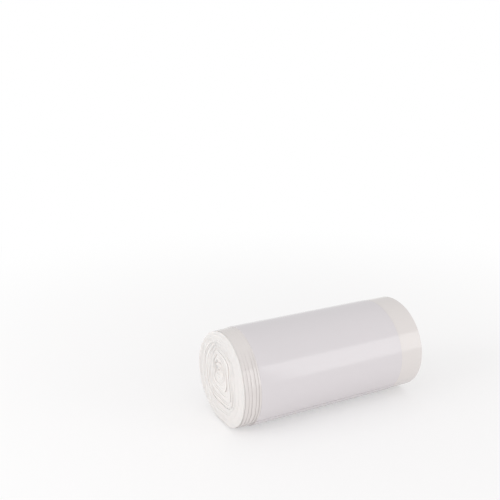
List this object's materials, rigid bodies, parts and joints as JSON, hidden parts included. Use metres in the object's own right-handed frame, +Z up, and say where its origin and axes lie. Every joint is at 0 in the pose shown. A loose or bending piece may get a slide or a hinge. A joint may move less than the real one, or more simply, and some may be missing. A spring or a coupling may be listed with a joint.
{
  "type": "bin bag roll",
  "caption": "Coreless roll of folded thin-film bin bags lying on its side, held closed by a plain clear film sleeve round its middle.",
  "frame": {"origin": "on the surface that the roll lies on, below the middle of its length and width", "axes": "+X along the roll, from the end with the stepped wraps to the plain end; +Y across the roll; +Z up"},
  "size_m": [0.2, 0.0966, 0.0915],
  "materials": {
    "bag_film": "milky thin film, satin",
    "sleeve_film": "clear milky film, glossy"
  },
  "bodies": {
    "root": {"film_roll": "bag_film", "film_sleeve": "sleeve_film"}
  },
  "joints": []
}
